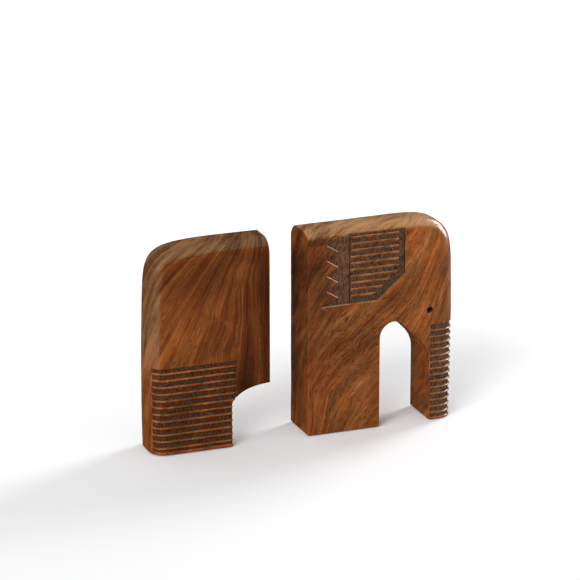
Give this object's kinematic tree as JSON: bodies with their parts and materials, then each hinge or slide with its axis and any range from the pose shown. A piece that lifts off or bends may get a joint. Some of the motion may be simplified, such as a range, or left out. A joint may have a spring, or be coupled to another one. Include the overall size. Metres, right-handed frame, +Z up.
{
  "type": "elephant bookends",
  "caption": "Two carved wooden blocks that meet as an elephant, rear half and front half, with grooved leg and trunk, sunk ear panel, arch and belly, standing apart to hold books.",
  "frame": {"origin": "on the shelf, under the middle of the whole pair as it stands apart at rest", "axes": "+X from the rump towards the trunk, +Y across the elephant, +Z up"},
  "size_m": [0.2544, 0.0376, 0.1676],
  "materials": {
    "rear_wood": "satin varnish on dark rosewood",
    "front_wood": "satin varnish on dark rosewood",
    "felt": "pressed felt"
  },
  "bodies": {
    "rear_bookend": {"rear_half": "rear_wood", "rear_foot_pad": "felt"},
    "front_bookend": {"front_half": "front_wood", "front_foot_pad": "felt", "trunk_foot_pad": "felt"}
  },
  "joints": [
    {"name": "gap_slide", "type": "slide", "parent": "rear_bookend", "child": "front_bookend", "axis": [1, 0, 0], "range_m": [-0.0314, 0.09]}
  ]
}
